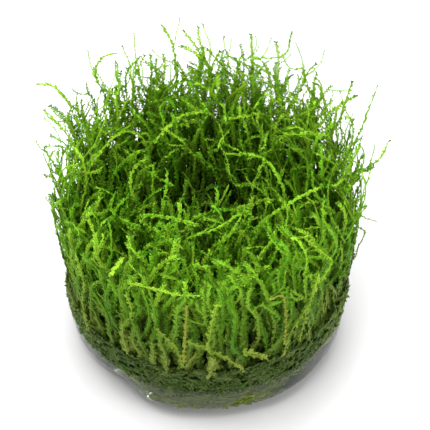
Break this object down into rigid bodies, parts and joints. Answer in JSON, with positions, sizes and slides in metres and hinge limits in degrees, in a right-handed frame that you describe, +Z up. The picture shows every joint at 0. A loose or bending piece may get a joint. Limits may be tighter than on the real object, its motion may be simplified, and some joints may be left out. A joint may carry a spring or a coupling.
{
  "type": "tissue-cultured java moss clump",
  "caption": "Clump of java moss grown in vitro: upright leafy shoots pressed into a ring, standing on a low round pad of clear nutrient gel with a flat underside.",
  "frame": {"origin": "middle of the gel pad's flat underside", "axes": "+Z up along the shoots, -Y towards the side that the picture shows in front"},
  "size_m": [0.0944, 0.0822, 0.0811],
  "materials": {
    "gel": "wet, clear, faintly grey-green",
    "old_moss": "dark, wet, matted",
    "moss": "leafy, damp",
    "young_moss": "leafy, damp, bright"
  },
  "bodies": {
    "root": {"gel_pad": "gel", "moss_mat": "old_moss", "wall_tuft_01": "moss", "wall_tuft_02": "moss", "wall_tuft_03": "moss", "wall_tuft_04": "moss", "wall_tuft_05": "moss", "wall_tuft_06": "moss", "wall_tuft_07": "moss", "wall_tuft_08": "moss", "wall_tuft_09": "moss", "wall_tuft_10": "moss", "wall_tuft_11": "moss", "wall_tuft_12": "moss", "wall_tuft_13": "moss", "wall_tuft_14": "moss", "wall_tuft_15": "moss", "wall_tuft_16": "moss", "wall_tuft_17": "moss", "wall_tuft_18": "moss", "middle_tuft_01": "moss", "middle_tuft_02": "moss", "middle_tuft_03": "moss", "middle_tuft_04": "moss", "middle_tuft_05": "moss", "middle_tuft_06": "moss", "middle_tuft_07": "moss", "middle_tuft_08": "moss", "middle_tuft_09": "moss", "middle_tuft_10": "moss", "heart_tuft_01": "moss", "heart_tuft_02": "moss", "heart_tuft_03": "moss", "heart_tuft_04": "moss", "heart_tuft_05": "moss", "centre_tuft": "moss", "long_shoot_01": "young_moss", "long_shoot_02": "young_moss", "long_shoot_03": "young_moss", "long_shoot_04": "young_moss", "long_shoot_05": "young_moss", "long_shoot_06": "young_moss", "long_shoot_07": "young_moss", "long_shoot_08": "young_moss", "long_shoot_09": "young_moss", "long_shoot_10": "young_moss", "long_shoot_11": "young_moss", "long_shoot_12": "young_moss", "long_shoot_13": "young_moss", "long_shoot_14": "young_moss", "long_shoot_15": "young_moss", "long_shoot_16": "young_moss", "long_shoot_17": "young_moss", "long_shoot_18": "young_moss", "long_shoot_19": "young_moss", "long_shoot_20": "young_moss"}
  },
  "joints": []
}
